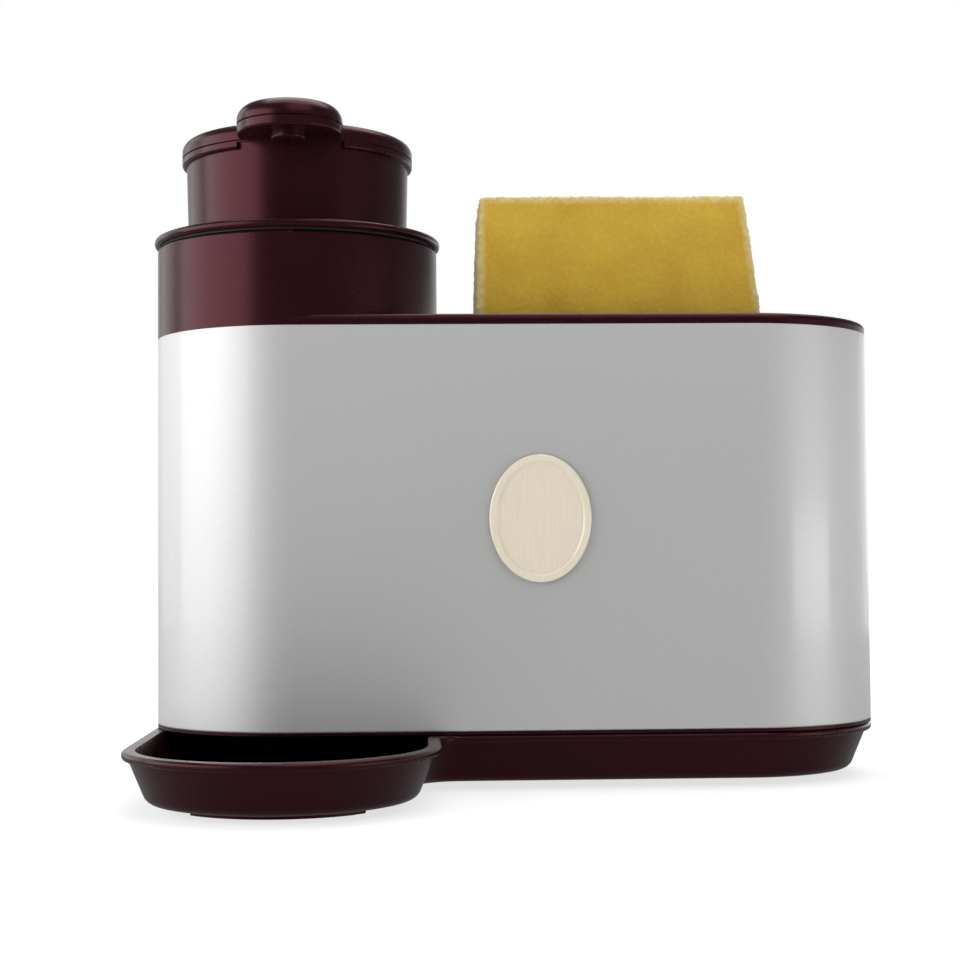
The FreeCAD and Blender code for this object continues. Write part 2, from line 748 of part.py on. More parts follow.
def make_stem_bush():
    flange = rod(bush_flange_radius, cylinder_top, bush_top)
    plug = rod(cylinder_bore - running_fit, bush_bottom, bush_top)
    hole = rod(stem_radius + running_fit, bush_bottom - cut_overrun, bush_top + cut_overrun)
    return joined(flange, plug).cut(hole)


def make_pump_stem():
    stem = rod(stem_radius, stem_bottom, stem_top)
    bore = rod(stem_bore, stem_bottom - cut_overrun, stem_top + cut_overrun)
    ball_room = rod(outlet_ball_radius + chamber_clearance, outlet_seat_level, stem_top + cut_overrun)
    return stem.cut([bore, ball_room])


def make_piston():
    radius = cylinder_bore - piston_clearance
    body = rod(radius, piston_bottom, piston_top)
    groove_low = piston_bottom + seal_offset
    groove = ring(cylinder_bore, cylinder_bore - seal_depth - slip_fit, groove_low, groove_low + seal_height)
    socket = rod(stem_radius + running_fit, stem_bottom, piston_top + cut_overrun)
    port = rod(stem_bore, piston_bottom - cut_overrun, stem_bottom + cut_overrun)
    return body.cut([groove, socket, port])


def make_piston_seal():
    low = piston_bottom + seal_offset
    return ring(cylinder_bore - running_fit, cylinder_bore - seal_depth, low, low + seal_height)


def make_inlet_ball():
    return Part.makeSphere(inlet_ball_radius, vec(pump_x, 0, chamber_bottom + inlet_rest + running_fit))


def make_outlet_ball():
    return Part.makeSphere(outlet_ball_radius, vec(pump_x, 0, outlet_seat_level + outlet_rest + running_fit))


def make_valve_cage():
    flange = rod(cylinder_bore - slip_fit, bore_bottom, bore_bottom + cage_flange)
    plug = rod(chamber_bore - slip_fit, bore_bottom - cage_flange, bore_bottom)
    hole = rod(cage_bore, bore_bottom - cage_flange - cut_overrun, bore_bottom + cage_flange + cut_overrun)
    return joined(flange, plug).cut(hole)


def make_dip_tube():
    return ring(dip_radius, dip_radius - dip_wall, tank_inside + dip_foot_gap, socket_top)


# Return spring: one wire, wound as a helix of arcs that meet smoothly every eighth of a turn

spring_steps = 4             # quarter turns in a turn, each made of two arcs
spring_bottom = bush_top + spring_gap + spring_wire
spring_top = lip_bottom - spring_gap - spring_wire


def helix_point(turn):
    angle = 2 * math.pi * turn
    rise = (spring_top - spring_bottom) / spring_turns
    return vec(pump_x + spring_radius * math.cos(angle), spring_radius * math.sin(angle),
               spring_bottom + rise * turn)


def helix_heading(turn):
    angle = 2 * math.pi * turn
    rise = (spring_top - spring_bottom) / spring_turns / (2 * math.pi * spring_radius)
    return vec(-math.sin(angle), math.cos(angle), rise).normalize()


def tangent_arc(start, corner, end):
    middle = (start + end) * 0.5
    rise = (corner - middle)
    half_chord = (end - start).Length / 2
    slope = math.atan2(rise.Length, half_chord)
    top = middle + rise.normalize() * (half_chord * math.tan(slope / 2))
    return Part.Arc(start, top, end).toShape()


def make_return_spring():
    edges = []
    count = spring_turns * spring_steps
    for number in range(count):
        start = helix_point(number / spring_steps)
        end = helix_point((number + 1) / spring_steps)
        out = helix_heading(number / spring_steps)
        home = helix_heading((number + 1) / spring_steps)
        gap = end - start
        both = out + home
        turn = 2 * (1 - out.dot(home))
        reach = (math.sqrt(gap.dot(both) ** 2 + turn * gap.dot(gap)) - gap.dot(both)) / turn
        first = start + out * reach
        second = end - home * reach
        meet = (first + second) * 0.5
        edges += [tangent_arc(start, first, meet), tangent_arc(meet, second, end)]
    path = Part.Wire(edges)
    section = Part.Wire(Part.Circle(helix_point(0), helix_heading(0), spring_wire).toShape())
    spring = path.makePipeShell([section], True, False)
    rise = (spring_top - spring_bottom) / spring_turns
    samples = [helix_point(number / 48) for number in range(48 * spring_turns + 1)]
    least = min(samples[0].distanceToPoint(point) for point in samples[24:])
    length = math.hypot(2 * math.pi * spring_radius, rise) * spring_turns
    print("spring gap", round(least - 2 * spring_wire, 2), "volume share",
          round(spring.Volume / (math.pi * spring_wire ** 2 * length), 4))
    return spring


# Every piece, written under its own name

pieces = {
    "base_tray": make_base_tray,
    "foot_pads": make_foot_pads,
    "outer_sleeve": make_outer_sleeve,
    "bottom_plate": make_bottom_plate,
    "plate_screws": make_plate_screws,
    "deck": make_deck,
    "soap_tank": make_soap_tank,
    "sponge_well": make_sponge_well,
    "badge_plate": make_badge_plate,
    "badge_pad": make_badge_pad,
    "drain_rack": make_drain_rack,
    "sponge": make_sponge,
    "lid": make_lid,
    "lid_gasket": make_lid_gasket,
    "guide_ring": make_guide_ring,
    "head_body": make_head_body,
    "head_cover": make_head_cover,
    "spout_channel": make_spout_channel,
    "nozzle": make_nozzle,
    "pump_cylinder": make_pump_cylinder,
    "pump_gasket": make_pump_gasket,
    "pump_nut": make_pump_nut,
    "stem_bush": make_stem_bush,
    "return_spring": make_return_spring,
    "pump_stem": make_pump_stem,
    "piston": make_piston,
    "piston_seal": make_piston_seal,
    "inlet_ball": make_inlet_ball,
    "outlet_ball": make_outlet_ball,
    "valve_cage": make_valve_cage,
    "dip_tube": make_dip_tube,
}

os.makedirs("parts", exist_ok=True)
for name, make in pieces.items():
    save(name, make())
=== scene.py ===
import json
import math

import bpy
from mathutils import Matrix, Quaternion, Vector


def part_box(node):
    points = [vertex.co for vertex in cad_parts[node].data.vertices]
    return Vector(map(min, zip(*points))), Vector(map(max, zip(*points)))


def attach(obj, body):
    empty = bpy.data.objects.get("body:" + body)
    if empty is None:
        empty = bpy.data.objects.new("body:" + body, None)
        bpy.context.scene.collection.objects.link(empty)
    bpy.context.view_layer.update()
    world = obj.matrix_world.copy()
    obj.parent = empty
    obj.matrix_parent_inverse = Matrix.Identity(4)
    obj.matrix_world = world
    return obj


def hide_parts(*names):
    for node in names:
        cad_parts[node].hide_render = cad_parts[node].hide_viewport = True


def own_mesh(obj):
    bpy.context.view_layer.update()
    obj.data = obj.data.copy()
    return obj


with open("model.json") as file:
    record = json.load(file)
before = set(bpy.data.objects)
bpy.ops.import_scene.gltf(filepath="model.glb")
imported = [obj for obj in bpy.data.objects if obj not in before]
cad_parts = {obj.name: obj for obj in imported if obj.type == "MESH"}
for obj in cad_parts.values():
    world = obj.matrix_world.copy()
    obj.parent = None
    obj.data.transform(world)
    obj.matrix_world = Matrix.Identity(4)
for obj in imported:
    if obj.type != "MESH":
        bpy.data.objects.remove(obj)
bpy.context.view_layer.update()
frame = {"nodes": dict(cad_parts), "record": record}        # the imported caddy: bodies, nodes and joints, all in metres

scene = bpy.context.scene
mm = 0.001
print("frame loaded", len(frame["nodes"]), "nodes")


# helpers for materials

def linearColour(hexText):       # sRGB hex to the linear colour that shaders take
    channels = [int(hexText[i:i + 2], 16) / 255 for i in (1, 3, 5)]
    return tuple(c / 12.92 if c <= 0.04045 else ((c + 0.055) / 1.055) ** 2.4 for c in channels) + (1.0,)


def addNode(tree, kind, settings, links):
    # settings: plain attributes by name, or socket values by number or "socket name"
    node = tree.nodes.new(kind)
    for key, value in settings.items():
        if isinstance(key, int) or key in node.inputs.keys():
            node.inputs[key].default_value = value
        else:
            setattr(node, key, value)
    for socket, source in links.items():
        tree.links.new(source, node.inputs[socket])
    return node


def startMaterial(name, settings):
    material = bpy.data.materials.new(name)
    material.use_nodes = True
    tree = material.node_tree
    tree.nodes.clear()
    shader = addNode(tree, "ShaderNodeBsdfPrincipled", settings, {})
    addNode(tree, "ShaderNodeOutputMaterial", {}, {"Surface": shader.outputs[0]})
    place = addNode(tree, "ShaderNodeTexCoord", {}, {}).outputs["Object"]
    return material, tree, shader, place


def setRamp(node, stops):
    ramp = node.color_ramp
    while len(ramp.elements) < len(stops):
        ramp.elements.new(0.5)
    for element, (position, colour) in zip(ramp.elements, stops):
        element.position = position
        element.color = colour


# materials

burgundy = {
    "deep": "#1b080b",           # colour of the moulding in thin shade
    "warm": "#200a0e",           # where the pigment is a touch thicker
    "sheen": "#ff98a8",          # the mica in it tints what it mirrors
    "flowSize": 45.0,            # mm between flow clouds in the moulding
    "peelSize": 1.6,             # mm, faint orange peel of the mould's polish
    "peelDepth": 0.012,          # mm
    "wipeSize": 9.0,             # mm between smoother and duller patches
    "smooth": 0.24,
    "dull": 0.31,
}


def makeBurgundy():
    # injection-moulded ABS, high polish: a deep wine red under a clear, slightly wavy gloss
    material, tree, shader, place = startMaterial(
        "mouldedBurgundyAbs", {"IOR": 1.44, "Specular Tint": linearColour(burgundy["sheen"])})
    flow = addNode(tree, "ShaderNodeTexNoise", {"Scale": 1 / (burgundy["flowSize"] * mm), "Detail": 3.0},
                   {"Vector": place})
    tint = addNode(tree, "ShaderNodeValToRGB", {}, {"Fac": flow.outputs[0]})
    setRamp(tint, [(0.3, linearColour(burgundy["deep"])), (0.7, linearColour(burgundy["warm"]))])
    tree.links.new(tint.outputs[0], shader.inputs["Base Color"])
    wipe = addNode(tree, "ShaderNodeTexNoise", {"Scale": 1 / (burgundy["wipeSize"] * mm), "Detail": 5.0,
                                                "Roughness": 0.6},
                   {"Vector": place})
    gloss = addNode(tree, "ShaderNodeMapRange", {"To Min": burgundy["smooth"], "To Max": burgundy["dull"]},
                    {"Value": wipe.outputs[0]})
    tree.links.new(gloss.outputs[0], shader.inputs["Roughness"])
    peel = addNode(tree, "ShaderNodeTexNoise", {"Scale": 1 / (burgundy["peelSize"] * mm), "Detail": 1.0},
                   {"Vector": place})
    bump = addNode(tree, "ShaderNodeBump", {"Strength": 0.25, "Distance": burgundy["peelDepth"] * mm},
                   {"Height": peel.outputs[0]})
    tree.links.new(bump.outputs[0], shader.inputs["Normal"])
    return material


silver = {
    "bright": "#d0d0d0",
    "dim": "#cacaca",
    "flake": 0.5,                # mm, larger than the real flake of the lacquer so that it holds in a picture
    "cloud": 60.0,               # mm, faint unevenness of the sprayed coat
    "roughLow": 0.5,
    "roughHigh": 0.56,
}


def makeSilver():
    # aluminium sheet under pearl silver lacquer: smooth, broad soft highlights and a thin clear coat
    material, tree, shader, place = startMaterial(
        "pearlSilverLacquer", {"Metallic": 0.62, "Coat Weight": 0.25, "Coat Roughness": 0.1})
    flake = addNode(tree, "ShaderNodeTexNoise", {"Scale": 1 / (silver["flake"] * mm), "Detail": 2.0},
                    {"Vector": place})
    tint = addNode(tree, "ShaderNodeValToRGB", {}, {"Fac": flake.outputs[0]})
    setRamp(tint, [(0.3, linearColour(silver["dim"])), (0.7, linearColour(silver["bright"]))])
    tree.links.new(tint.outputs[0], shader.inputs["Base Color"])
    cloud = addNode(tree, "ShaderNodeTexNoise", {"Scale": 1 / (silver["cloud"] * mm), "Detail": 3.0},
                    {"Vector": place})
    satin = addNode(tree, "ShaderNodeMapRange", {"To Min": silver["roughLow"], "To Max": silver["roughHigh"]},
                    {"Value": cloud.outputs[0]})
    tree.links.new(satin.outputs[0], shader.inputs["Roughness"])
    return material


champagne = {
    "light": "#e8decb",
    "shade": "#e1d6c0",
    "grainWidth": 0.3,           # mm across the brushing
    "grainLength": 12.0,         # mm along it
    "smooth": 0.3,
    "dull": 0.42,
}


def makeChampagne():
    # struck aluminium plate under thick champagne anodising: pale, silky, with fine upright brushing
    material, tree, shader, place = startMaterial(
        "champagneAnodisedAluminium", {"Metallic": 0.1, "Coat Weight": 0.3, "Coat Roughness": 0.15})
    stretch = addNode(tree, "ShaderNodeMapping", {"Scale": (
        1 / (champagne["grainWidth"] * mm), 1 / (champagne["grainWidth"] * mm),
        1 / (champagne["grainLength"] * mm))},
        {"Vector": place})
    grain = addNode(tree, "ShaderNodeTexNoise", {"Scale": 1.0, "Detail": 3.0}, {"Vector": stretch.outputs[0]})
    tint = addNode(tree, "ShaderNodeValToRGB", {}, {"Fac": grain.outputs[0]})
    setRamp(tint, [(0.3, linearColour(champagne["shade"])), (0.7, linearColour(champagne["light"]))])
    tree.links.new(tint.outputs[0], shader.inputs["Base Color"])
    silk = addNode(tree, "ShaderNodeMapRange", {"To Min": champagne["smooth"], "To Max": champagne["dull"]},
                   {"Value": grain.outputs[0]})
    tree.links.new(silk.outputs[0], shader.inputs["Roughness"])
    return material


milky = {"dim": "#d9d8d2", "bright": "#e6e5df", "cloud": 14.0, "depth": 1.5, "smooth": 0.36, "dull": 0.48}


def makePolypropylene():
    # natural polypropylene, moulded: milky, waxy, a little see-through at thin walls
    material, tree, shader, place = startMaterial(
        "naturalPolypropylene", {"IOR": 1.49, "Subsurface Weight": 0.2,
                                 "Subsurface Scale": milky["depth"] * mm})
    cloud = addNode(tree, "ShaderNodeTexNoise", {"Scale": 1 / (milky["cloud"] * mm), "Detail": 2.0},
                    {"Vector": place})
    tint = addNode(tree, "ShaderNodeValToRGB", {}, {"Fac": cloud.outputs[0]})
    setRamp(tint, [(0.3, linearColour(milky["dim"])), (0.7, linearColour(milky["bright"]))])
    tree.links.new(tint.outputs[0], shader.inputs["Base Color"])
    wax = addNode(tree, "ShaderNodeMapRange", {"To Min": milky["smooth"], "To Max": milky["dull"]},
                  {"Value": cloud.outputs[0]})
    tree.links.new(wax.outputs[0], shader.inputs["Roughness"])
    return material


nitrile = {"dim": "#0c0c0c", "bright": "#151414", "pebble": 0.7, "pebbleDepth": 0.08, "dull": 0.72}


def makeRubber():
    # moulded nitrile rubber: near black, matt, with the fine pebble of an eroded mould
    material, tree, shader, place = startMaterial(
        "mouldedNitrileRubber", {"IOR": 1.52, "Roughness": nitrile["dull"]})
    pebble = addNode(tree, "ShaderNodeTexNoise", {"Scale": 1 / (nitrile["pebble"] * mm), "Detail": 4.0},
                     {"Vector": place})
    tint = addNode(tree, "ShaderNodeValToRGB", {}, {"Fac": pebble.outputs[0]})
    setRamp(tint, [(0.3, linearColour(nitrile["dim"])), (0.7, linearColour(nitrile["bright"]))])
    tree.links.new(tint.outputs[0], shader.inputs["Base Color"])
    bump = addNode(tree, "ShaderNodeBump", {"Strength": 0.4, "Distance": nitrile["pebbleDepth"] * mm},
                   {"Height": pebble.outputs[0]})
    tree.links.new(bump.outputs[0], shader.inputs["Normal"])
    return material


stainless = {"dim": "#a9aaab", "bright": "#c2c2c1", "drawn": 0.6, "smooth": 0.2, "dull": 0.32}


def makeSteel():
    # drawn and polished stainless steel, with faint draw lines
    material, tree, shader, place = startMaterial("drawnStainlessSteel", {"Metallic": 1.0})
    scratch = addNode(tree, "ShaderNodeTexNoise", {"Scale": 1 / (stainless["drawn"] * mm), "Detail": 5.0},
                      {"Vector": place})
    tint = addNode(tree, "ShaderNodeValToRGB", {}, {"Fac": scratch.outputs[0]})
    setRamp(tint, [(0.3, linearColour(stainless["dim"])), (0.7, linearColour(stainless["bright"]))])
    tree.links.new(tint.outputs[0], shader.inputs["Base Color"])
    shine = addNode(tree, "ShaderNodeMapRange", {"To Min": stainless["smooth"], "To Max": stainless["dull"]},
                    {"Value": scratch.outputs[0]})
    tree.links.new(shine.outputs[0], shader.inputs["Roughness"])
    return material


foam = {
    "deep": "#b8932c",
    "pale": "#cdab3c",
    "cell": 1.1,                 # mm, an open cell of the foam
    "cellDepth": 0.35,           # mm
    "cloud": 22.0,               # mm between lighter and darker patches
    "fringeAndSheen": "#cfc596",         # torn cell walls along the cut edges, paler partly as painted sheen: the light their fuzz catches at grazing angles
    "fringeSize": 1.6,           # mm from tuft to tuft
}


def makeFoam():
    # cut open-cell cellulose sponge: warm yellow, light goes in and comes out again, fuzzy pale edges whose
    # paleness is partly painted sheen
    material, tree, shader, place = startMaterial(
        "cutCelluloseSponge",
        {"Roughness": 0.9, "Subsurface Weight": 0.35, "Subsurface Scale": 2.5 * mm,
         "Subsurface Radius": (1.0, 0.75, 0.3), "Sheen Weight": 0.6, "Sheen Roughness": 0.5,
         "Sheen Tint": linearColour("#efe6cf"), "Specular IOR Level": 0.2})
    cells = addNode(tree, "ShaderNodeTexVoronoi", {"Scale": 1 / (foam["cell"] * mm)}, {"Vector": place})
    clouds = addNode(tree, "ShaderNodeTexNoise", {"Scale": 1 / (foam["cloud"] * mm), "Detail": 4.0},
                     {"Vector": place})
    blend = addNode(tree, "ShaderNodeMath", {"operation": "MULTIPLY_ADD", 1: 0.2},
                    {0: cells.outputs["Distance"], 2: clouds.outputs[0]})
    tint = addNode(tree, "ShaderNodeValToRGB", {}, {"Fac": blend.outputs[0]})
    setRamp(tint, [(0.35, linearColour(foam["deep"])), (0.85, linearColour(foam["pale"]))])
    # pale fringe along the cut edges: torn fibres, and painted sheen standing in for the light they catch
    edge = addNode(tree, "ShaderNodeAttribute", {"attribute_name": "frayedAndSheen"}, {})
    tufts = addNode(tree, "ShaderNodeTexNoise", {"Scale": 1 / (foam["fringeSize"] * mm), "Detail": 3.0},
                    {"Vector": place})
    tornFibreAndSheen = addNode(tree, "ShaderNodeMath", {"operation": "MULTIPLY"},
                   {0: edge.outputs["Fac"], 1: tufts.outputs[0]})
    cover = addNode(tree, "ShaderNodeMapRange", {"From Min": 0.1, "From Max": 0.45, "To Max": 0.75},
                    {"Value": tornFibreAndSheen.outputs[0]})
    fringeAndSheenTone = addNode(tree, "ShaderNodeMix", {"data_type": "RGBA", 7: linearColour(foam["fringeAndSheen"])},
                      {0: cover.outputs[0], 6: tint.outputs[0]})
    tree.links.new(fringeAndSheenTone.outputs[2], shader.inputs["Base Color"])
    bump = addNode(tree, "ShaderNodeBump", {"Strength": 0.35, "Distance": foam["cellDepth"] * mm},
                   {"Height": cells.outputs["Distance"]})
    tree.links.new(bump.outputs[0], shader.inputs["Normal"])
    return material


finishes = {
    "burgundy": makeBurgundy(),
    "silver": makeSilver(),
    "champagne": makeChampagne(),
    "pump_plastic": makePolypropylene(),
    "rubber": makeRubber(),
    "steel": makeSteel(),
    "foam": makeFoam(),
}
slotOf = {row["node"]: row["material_slot"] for row in frame["record"]["subparts"]}
for nodeName, node in frame["nodes"].items():
    for materialSlot in node.material_slots:
        materialSlot.material = finishes[slotOf[nodeName]]
print("materials set on", len(slotOf), "nodes")


# helpers for modelling

def selectNothing():
    if bpy.context.object and bpy.context.object.mode != "OBJECT":
        bpy.ops.object.mode_set(mode="OBJECT")
    bpy.ops.object.select_all(action="DESELECT")


def newPiece(name):              # names the primitive that was just added and puts its place in its mesh
    piece = bpy.context.object
    piece.name = name
    piece.data.name = name
    bpy.ops.object.transform_apply(location=True, rotation=True, scale=True)
    return piece


def pickVertices(piece, test):   # leaves edit mode on, with the vertices that pass the test selected
    bpy.ops.object.mode_set(mode="EDIT")
    bpy.ops.mesh.select_mode(type="VERT")
    bpy.ops.mesh.select_all(action="DESELECT")
    bpy.ops.object.mode_set(mode="OBJECT")
    for vertex in piece.data.vertices:
        vertex.select = test(vertex.co)
    bpy.ops.object.mode_set(mode="EDIT")


def pickFaces(piece, test):
    bpy.ops.object.mode_set(mode="EDIT")
    bpy.ops.mesh.select_mode(type="FACE")
    bpy.ops.mesh.select_all(action="DESELECT")
    bpy.ops.object.mode_set(mode="OBJECT")
    for face in piece.data.polygons:
        face.select = test(face)
    bpy.ops.object.mode_set(mode="EDIT")


def finishModifier(piece, kind, settings):
    bpy.ops.object.mode_set(mode="OBJECT")
    modifier = piece.modifiers.new(kind.lower(), kind)
    for key, value in settings.items():
        setattr(modifier, key, value)
    bpy.ops.object.modifier_apply(modifier=modifier.name)


def addNoise(name, kind, size, depth=2):
    texture = bpy.data.textures.new(name, kind)
    texture.noise_scale = size * mm
    if kind == "CLOUDS":
        texture.noise_depth = depth
    return texture


# sponge: a cut block of foam, a little pinched, with soft torn edges

sponge = {
    "skin": 0.45,                # mm left free all round for the torn edges
    "levelShares": (0.25, 0.5, 0.7, 0.88),
    "leftIn": (0.7, 0.7, 0.4, 0.7, 1.3),      # mm that the left side stands in at each level and the top
    "rightIn": (0.0, 0.9, 2.4, 5.2, 7.2),     # mm that the right side leans in
    "edge": 0.8,                 # mm, worn edges
    "voxel": 0.65,               # mm
    "fringeAndSheen": 3.4,               # mm, width of the torn fringe along the edges, which also carries the painted sheen
    "tuft": 1.3, "tuftSize": 1.2,
    "swell": 0.8, "swellSize": 28.0,
    "cell": 0.28, "cellSize": 1.5,
    "fuzz": 0.22, "fuzzSize": 0.9,
}


def leanAt(profile, height):     # how far in the left and right sides stand at this height
    for lower, upper in zip(profile, profile[1:]):
        if height <= upper[0]:
            share = max(0.0, (height - lower[0]) / (upper[0] - lower[0]))
            return [low + (high - low) * share for low, high in zip(lower[1:], upper[1:])]
    return profile[-1][1:]


def buildSponge():
    low, high = (Vector(corner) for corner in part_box("sponge"))
    size = high - low - Vector((1, 1, 1)) * (2 * sponge["skin"] * mm)
    middle = (low + high) / 2
    selectNothing()
    bpy.ops.mesh.primitive_cube_add(size=1, location=middle, scale=size)
    piece = newPiece("spongeFoam")
    base = middle.z - size.z / 2
    levels = [base + share * size.z for share in sponge["levelShares"]]
    bpy.ops.object.mode_set(mode="EDIT")
    for level in levels:         # rings round the block, at the heights where its sides bend
        bpy.ops.mesh.select_all(action="SELECT")
        bpy.ops.mesh.bisect(plane_co=(0, 0, level), plane_no=(0, 0, 1))
    levels.append(base + size.z)
    for level, leftIn, rightIn in zip(levels, sponge["leftIn"], sponge["rightIn"]):
        for inwards, onSide in ((leftIn, -1), (-rightIn, 1)):
            pickVertices(piece, lambda co: abs(co.z - level) < mm and (co.x - middle.x) * onSide > 0)
            bpy.ops.transform.translate(value=(inwards * mm, 0, 0))
    finishModifier(piece, "BEVEL", {"width": sponge["edge"] * mm, "segments": 3, "limit_method": "ANGLE"})
    finishModifier(piece, "REMESH", {"mode": "VOXEL", "voxel_size": sponge["voxel"] * mm})
    profile = [(base, 0.0, 0.0)] + list(zip(levels, sponge["leftIn"], sponge["rightIn"]))
    # how near each point lies to an edge: weights the torn tufts and the painted sheen in the foam's colour
    frayedAndSheen = []
    for vertex in piece.data.vertices:
        leftIn, rightIn = leanAt(profile, vertex.co.z)
        fromMiddle = vertex.co - middle
        gaps = sorted((size.x / 2 + fromMiddle.x - leftIn * mm, size.x / 2 - fromMiddle.x - rightIn * mm,
                       size.y / 2 - abs(fromMiddle.y), size.z / 2 - fromMiddle.z))
        frayedAndSheen.append(min(1.0, max(0.0, 1 - gaps[1] / (sponge["fringeAndSheen"] * mm))))
    piece.data.attributes.new("frayedAndSheen", "FLOAT", "POINT").data.foreach_set("value", frayedAndSheen)
    edges = piece.vertex_groups.new(name="edges")
    for number, weight in enumerate(frayedAndSheen):
        if weight:
            edges.add([number], weight, "REPLACE")
    for name, kind, group in (("swell", "CLOUDS", ""), ("cell", "VORONOI", ""), ("fuzz", "CLOUDS", ""),
                              ("tuft", "CLOUDS", "edges")):
        texture = addNoise("sponge" + name.capitalize(), kind, sponge[name + "Size"])
        finishModifier(piece, "DISPLACE", {"texture": texture, "texture_coords": "LOCAL",
                                           "vertex_group": group, "strength": sponge[name] * mm,
                                           "mid_level": 0.5})
    selectNothing()
    piece.select_set(True)
    bpy.ops.object.shade_smooth()
    piece.data.materials.append(finishes["foam"])
    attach(piece, "sponge")
    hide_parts("sponge")
    piece.visible_glossy = False  # its mirror image on the tower comes out stronger than in the photograph
    print("sponge", len(piece.data.polygons), "faces")


buildSponge()


# badge: a plain oval plate, with a rounded border and a slightly domed field

badge = {
    "corners": 96,
    "rim": 0.45,                 # mm, rounding of the outer edge
    "border": 1.9,               # mm wide
    "step": 0.55,                # mm from the border down to the field
    "stepWidth": 0.5,
    "domeRings": 3,
    "domeWidth": 2.3,            # mm from ring to ring
    "domeRise": 0.09,            # mm up with each ring
}


def buildBadge():
    low, high = (Vector(corner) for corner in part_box("badge_plate"))
    size = high - low
    selectNothing()
    bpy.ops.mesh.primitive_cylinder_add(vertices=badge["corners"], radius=0.5, depth=1,
                                        location=(low + high) / 2, rotation=(math.pi / 2, 0, 0),
                                        scale=(size.x, size.z, size.y))
    piece = newPiece("badgeMedallion")
    pickFaces(piece, lambda face: face.normal.y < -0.9)
    bpy.ops.mesh.bevel(offset=badge["rim"] * mm, segments=3)
    front = min(vertex.co.y for vertex in piece.data.vertices)
    pickFaces(piece, lambda face: face.normal.y < -0.9 and len(face.vertices) > 4)
    bpy.ops.mesh.inset(thickness=(badge["border"] - badge["rim"]) * mm)
    bpy.ops.mesh.inset(thickness=badge["stepWidth"] * mm, depth=-badge["step"] * mm)
    for ring in range(badge["domeRings"]):
        bpy.ops.mesh.inset(thickness=badge["domeWidth"] * mm, depth=badge["domeRise"] * mm)
    bpy.ops.object.mode_set(mode="OBJECT")
    bpy.ops.object.shade_smooth_by_angle(angle=math.radians(40))
    piece.data.materials.append(finishes["champagne"])
    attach(piece, "caddy_body")
    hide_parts("badge_plate")
    print("badge front at", round(front / mm, 2), "mm")


buildBadge()


# return spring: the same coil as the solid, wound as a wire round its axis

spring = {
    "wire": 0.6,                 # mm, radius
    "wireCorners": 10,
    "turns": 8,
    "turnCorners": 28,
    "stroke": 18.0,              # mm that the pump goes down
}


def buildSpring():
    low, high = (Vector(corner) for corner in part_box("return_spring"))
    middle = (low + high) / 2
    wire = spring["wire"] * mm
    selectNothing()
    bpy.ops.mesh.primitive_circle_add(vertices=spring["wireCorners"], radius=wire, fill_type="NOTHING",
                                      location=((high.x - low.x) / 2 - wire, 0, low.z + wire),
                                      rotation=(math.pi / 2, 0, 0))
    piece = newPiece("returnSpringCoil")
    finishModifier(piece, "SCREW", {"angle": 2 * math.pi, "iterations": spring["turns"],
                                    "screw_offset": (high.z - low.z - 2 * wire) / spring["turns"],
                                    "steps": spring["turnCorners"], "render_steps": spring["turnCorners"]})
    bpy.ops.object.mode_set(mode="EDIT")
    bpy.ops.mesh.select_all(action="SELECT")
    bpy.ops.mesh.fill_holes(sides=spring["wireCorners"])
    bpy.ops.mesh.normals_make_consistent(inside=False)
    bpy.ops.transform.translate(value=(middle.x, middle.y, 0))
    bpy.ops.object.mode_set(mode="OBJECT")
    bpy.ops.object.shade_smooth_by_angle(angle=math.radians(50))
    piece.data.materials.append(finishes["steel"])
    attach(piece, "lid")
    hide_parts("return_spring")
    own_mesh(piece)
    print("spring", len(piece.data.polygons), "faces,", round((high.z - low.z) / mm, 2), "mm long")


buildSpring()


# floor, light and camera

stage = {
    "floorSize": 12.0,           # metres
    "paper": 0.39,               # grey of the paper under its glow
    "glow": 0.72,                # white paper, overexposed as in the photograph
    "mirrored": 0.28,            # what gloss sees of that glow: the studio around the paper is dark
    "plainFrom": 0.5,            # metres from the middle, where the paper starts to turn into the backdrop
    "plainTo": 1.6,
}


def buildFloor():
    selectNothing()
    bpy.ops.mesh.primitive_plane_add(size=stage["floorSize"], location=(0, 0, 0))
    floor = newPiece("studioFloor")
    material, tree, shader, place = startMaterial(
        "whitePaperSweep", {"Roughness": 0.9, "Specular IOR Level": 0.0, "Emission Color": (1, 1, 1, 1)})
    reach = addNode(tree, "ShaderNodeVectorMath", {"operation": "LENGTH"}, {0: place})
    glow = addNode(tree, "ShaderNodeMapRange", {"From Min": stage["plainFrom"], "From Max": stage["plainTo"],
                                                "To Min": stage["glow"], "To Max": 1.0},
                   {"Value": reach.outputs["Value"]})
    path = addNode(tree, "ShaderNodeLightPath", {}, {})
    seen = addNode(tree, "ShaderNodeMapRange", {"To Min": 1.0, "To Max": stage["mirrored"]},
                   {"Value": path.outputs["Is Glossy Ray"]})
    strength = addNode(tree, "ShaderNodeMath", {"operation": "MULTIPLY"},
                       {0: glow.outputs[0], 1: seen.outputs[0]})
    tree.links.new(strength.outputs[0], shader.inputs["Emission Strength"])
    shade = addNode(tree, "ShaderNodeMath", {"operation": "MULTIPLY", 1: stage["paper"]},
                    {0: seen.outputs[0]})
    tree.links.new(shade.outputs[0], shader.inputs["Base Color"])
    floor.data.materials.append(material)


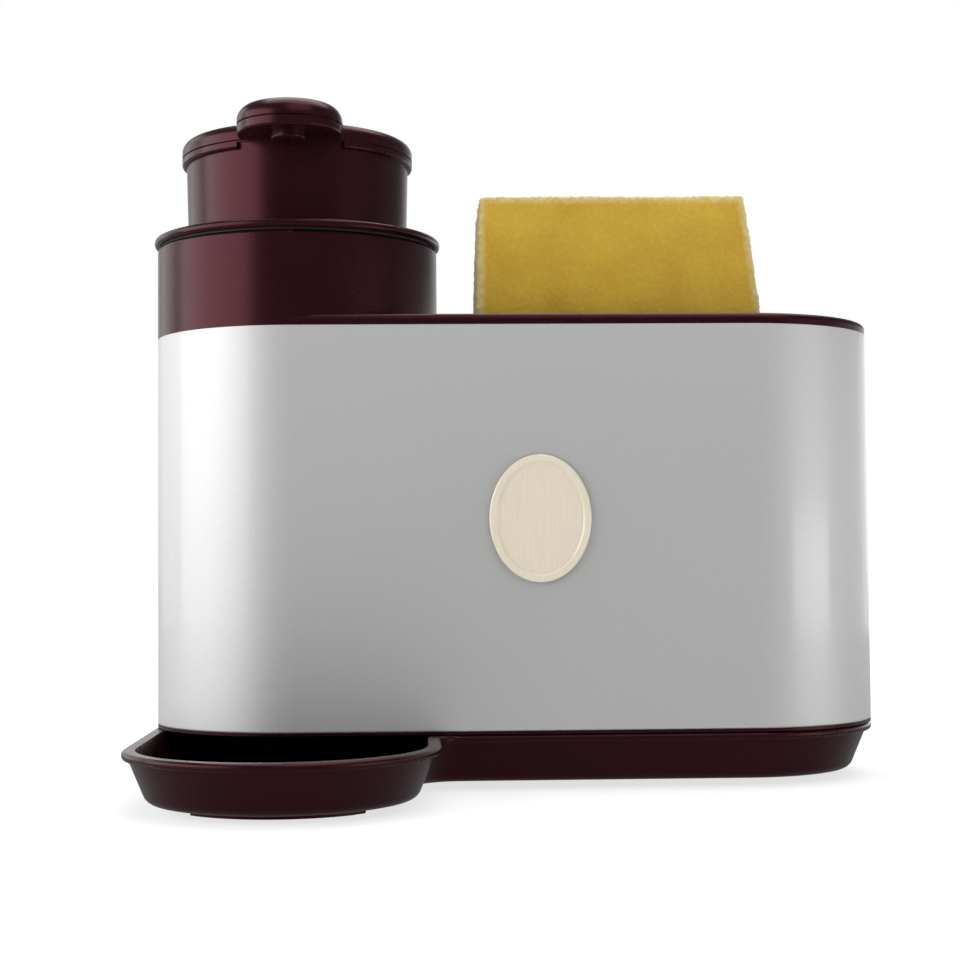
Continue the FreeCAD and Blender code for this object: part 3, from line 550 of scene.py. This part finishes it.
aim = (0, 0, 0.1)                # metres, where all the lights point
lights = {                       # place and size in metres, power in watts
    "leftSoftbox": {"place": (-1.27, -0.42, 0.26), "size": (1.8, 1.25), "power": 22.0},
    "leftBackCard": {"place": (-1.09, 0.835, 0.4), "size": (0.7, 1.2), "power": 3.2},
    "topSoftbox": {"place": (0.1, 0.25, 1.5), "size": (1.6, 1.6), "power": 20.0},
    "frontFill": {"place": (0.45, -1.0, 1.1), "size": (1.2, 0.8), "power": 4.6},
    "rightCard": {"place": (1.05, -0.52, 0.035), "size": (0.7, 0.15), "power": 2.8},
    "rightSideCard": {"place": (1.1, 0.42, 0.09), "size": (0.9, 0.36), "power": 0.9},
    "rightBackCard": {"place": (0.7, 0.935, 0.09), "size": (0.56, 0.36), "power": 1.0},
}


def buildLights():
    target = Vector(aim)
    for name, setting in lights.items():
        data = bpy.data.lights.new(name, "AREA")
        data.shape = "RECTANGLE"
        data.size, data.size_y = setting["size"]
        data.energy = setting["power"]
        light = bpy.data.objects.new(name, data)
        scene.collection.objects.link(light)
        light.location = setting["place"]
        light.rotation_euler = (target - light.location).to_track_quat("-Z", "Y").to_euler()
        light.visible_camera = False


sky = {"front": 0.14, "back": 1.0, "from": 0.75, "to": 0.97, "seen": 1.0}


def buildWorld():
    # dim round the studio, bright behind the caddy, and plain white where the camera looks past it
    world = bpy.data.worlds.new("studioWorld")
    scene.world = world
    world.use_nodes = True
    tree = world.node_tree
    tree.nodes.clear()
    heading = addNode(tree, "ShaderNodeTexCoord", {}, {}).outputs["Generated"]
    parts = addNode(tree, "ShaderNodeSeparateXYZ", {}, {0: heading})
    level = addNode(tree, "ShaderNodeMapRange", {"From Min": sky["from"], "From Max": sky["to"],
                                                 "To Min": sky["front"], "To Max": sky["back"]},
                    {"Value": parts.outputs["Y"]})
    soft = addNode(tree, "ShaderNodeBackground", {"Color": (1, 1, 1, 1)}, {"Strength": level.outputs[0]})
    white = addNode(tree, "ShaderNodeBackground", {"Color": (1, 1, 1, 1), "Strength": sky["seen"]}, {})
    path = addNode(tree, "ShaderNodeLightPath", {}, {})
    mix = addNode(tree, "ShaderNodeMixShader", {}, {0: path.outputs["Is Camera Ray"], 1: soft.outputs[0],
                                                    2: white.outputs[0]})
    addNode(tree, "ShaderNodeOutputWorld", {}, {"Surface": mix.outputs[0]})


photoCamera = {                  # found from points and outlines of the body in the photograph
    "place": (-28.8, -543.8, 68.0),          # mm
    "heading": (0.0323, 0.9985, 0.0433),
    "roll": -0.45,               # degrees
    "lens": 68.3,                # mm
    "sensor": 36.0,              # mm wide
    "near": 10.0,                # mm, nothing nearer is drawn
}


def buildCamera():
    data = bpy.data.cameras.new("photoCamera")
    data.lens = photoCamera["lens"]
    data.sensor_width = photoCamera["sensor"]
    data.clip_start = photoCamera["near"] * mm
    camera = bpy.data.objects.new("photoCamera", data)
    scene.collection.objects.link(camera)
    camera.location = Vector(photoCamera["place"]) * mm
    upright = Vector(photoCamera["heading"]).to_track_quat("-Z", "Y")
    camera.rotation_euler = (upright @ Quaternion((0, 0, 1), math.radians(photoCamera["roll"]))).to_euler()
    scene.camera = camera


buildFloor()
buildLights()
buildWorld()
buildCamera()
scene.view_settings.view_transform = "Standard"
print("stage set")
